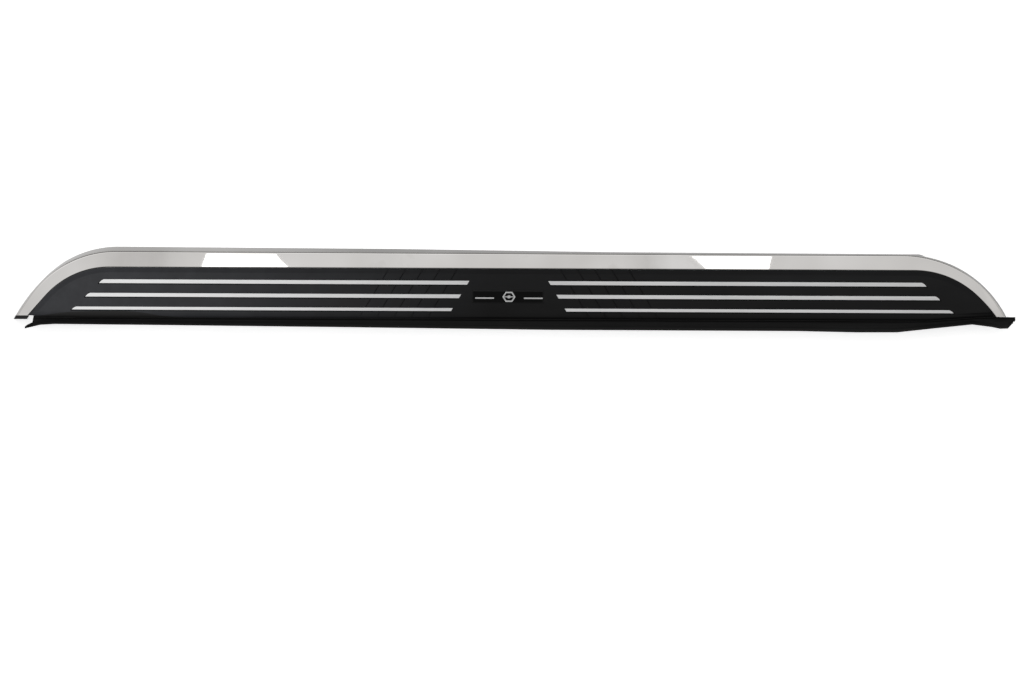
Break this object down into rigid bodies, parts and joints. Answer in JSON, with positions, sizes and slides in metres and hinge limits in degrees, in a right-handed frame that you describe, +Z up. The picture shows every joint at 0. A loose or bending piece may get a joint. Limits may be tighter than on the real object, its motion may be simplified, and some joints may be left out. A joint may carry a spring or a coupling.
{
  "type": "running board",
  "caption": "Vehicle running board: aluminium beam, ribbed black tread with bright inlay strips, folded stainless trim, rubber sill seal and sliding bracket studs.",
  "frame": {"origin": "centre of the board's plan box, on the surface that the board stands on", "axes": "+X runs along the board, +Y points away from the vehicle, +Z is up"},
  "size_m": [1.9046, 0.1576, 0.046],
  "materials": {
    "core_aluminium": "satin",
    "support_plastic": "matte",
    "tread_plastic": "satin",
    "strip_aluminium": "satin",
    "badge_gloss": "gloss",
    "badge_bright": "polished",
    "trim_steel": "polished",
    "cap_plastic": "matte",
    "seal_rubber": "matte",
    "plate_steel": "satin",
    "stud_steel": "satin",
    "fastener_steel": "satin"
  },
  "bodies": {
    "board": {"core_beam": "core_aluminium", "end_support_left": "support_plastic", "end_support_right": "support_plastic", "tread_cover": "tread_plastic", "inlay_strip_outer_left": "strip_aluminium", "inlay_strip_middle_left": "strip_aluminium", "inlay_strip_inner_left": "strip_aluminium", "inlay_strip_outer_right": "strip_aluminium", "inlay_strip_middle_right": "strip_aluminium", "inlay_strip_inner_right": "strip_aluminium", "badge_plate": "badge_gloss", "badge_bar_left": "badge_bright", "badge_bar_right": "badge_bright", "badge_emblem": "badge_bright", "outer_trim": "trim_steel", "trim_carrier": "support_plastic", "trim_end_cap_left": "cap_plastic", "trim_end_cap_right": "cap_plastic", "seal_flap": "seal_rubber", "tread_screws": "fastener_steel", "trim_screws": "fastener_steel", "carrier_screws": "fastener_steel", "end_support_screws": "fastener_steel"},
    "slider_1": {"stud_plate_1": "plate_steel", "stud_pair_1": "stud_steel"},
    "slider_2": {"stud_plate_2": "plate_steel", "stud_pair_2": "stud_steel"},
    "slider_3": {"stud_plate_3": "plate_steel", "stud_pair_3": "stud_steel"},
    "slider_4": {"stud_plate_4": "plate_steel", "stud_pair_4": "stud_steel"}
  },
  "joints": [
    {"name": "slider_1_slide", "type": "slide", "parent": "board", "child": "slider_1", "axis": [1, 0, 0], "range_m": [-0.145, 0.145]},
    {"name": "slider_2_slide", "type": "slide", "parent": "board", "child": "slider_2", "axis": [1, 0, 0], "range_m": [-0.145, 0.145]},
    {"name": "slider_3_slide", "type": "slide", "parent": "board", "child": "slider_3", "axis": [1, 0, 0], "range_m": [-0.145, 0.145]},
    {"name": "slider_4_slide", "type": "slide", "parent": "board", "child": "slider_4", "axis": [1, 0, 0], "range_m": [-0.145, 0.145]}
  ]
}
